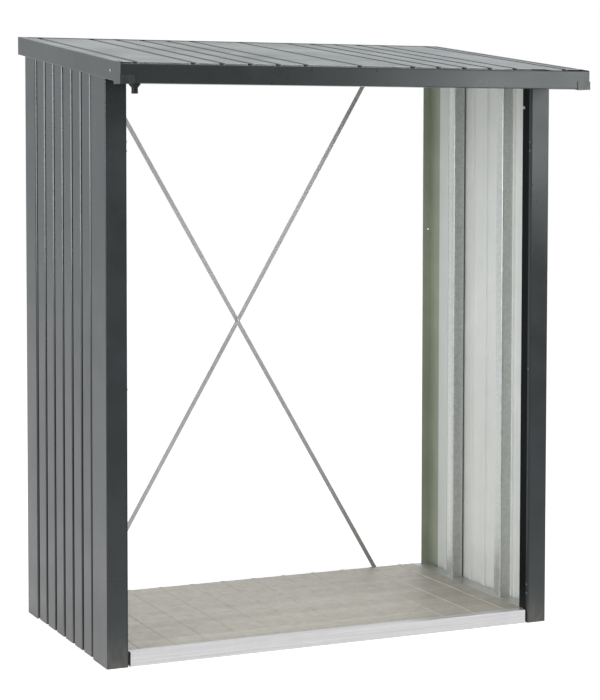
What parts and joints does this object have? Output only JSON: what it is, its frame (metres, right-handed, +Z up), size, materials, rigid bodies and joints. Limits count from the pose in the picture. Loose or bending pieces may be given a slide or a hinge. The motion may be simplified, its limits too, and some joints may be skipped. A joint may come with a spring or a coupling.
{
  "type": "sheet metal log store",
  "caption": "Open-fronted sheet steel log store with ribbed side walls, a mono-pitch ribbed roof, a front gutter with a drain spout, a metal floor and a cross-braced open back.",
  "frame": {"origin": "centre of the footprint of the roof and walls, on the ground", "axes": "+Z up, front towards -Y, the eaves gutter at the front, +X to the right as seen from the front"},
  "size_m": [1.57, 1.0214, 1.9219],
  "materials": {
    "dark_paint": "satin",
    "grey_paint": "satin",
    "galvanised": "matt",
    "bare_aluminium": "satin",
    "black_plastic": "matt"
  },
  "bodies": {
    "root": {"left_front_post": "dark_paint", "right_front_post": "dark_paint", "left_rear_post": "dark_paint", "right_rear_post": "dark_paint", "front_gutter": "dark_paint", "rear_roof_trim": "dark_paint", "left_wall_panel": "grey_paint", "right_wall_panel": "grey_paint", "left_side_fascia": "grey_paint", "right_side_fascia": "grey_paint", "left_roof_panel": "grey_paint", "right_roof_panel": "grey_paint", "left_front_stiffener": "galvanised", "left_rear_stiffener": "galvanised", "right_front_stiffener": "galvanised", "right_rear_stiffener": "galvanised", "left_top_rail": "galvanised", "right_top_rail": "galvanised", "front_header": "galvanised", "rear_top_rail": "galvanised", "left_base_rail": "galvanised", "right_base_rail": "galvanised", "rear_base_rail": "galvanised", "left_floor_panel": "galvanised", "middle_floor_panel": "galvanised", "right_floor_panel": "galvanised", "inner_brace_strap": "galvanised", "outer_brace_strap": "galvanised", "front_sill": "bare_aluminium", "left_gutter_end_cap": "black_plastic", "right_gutter_end_cap": "black_plastic", "drain_spout": "black_plastic"}
  },
  "joints": []
}
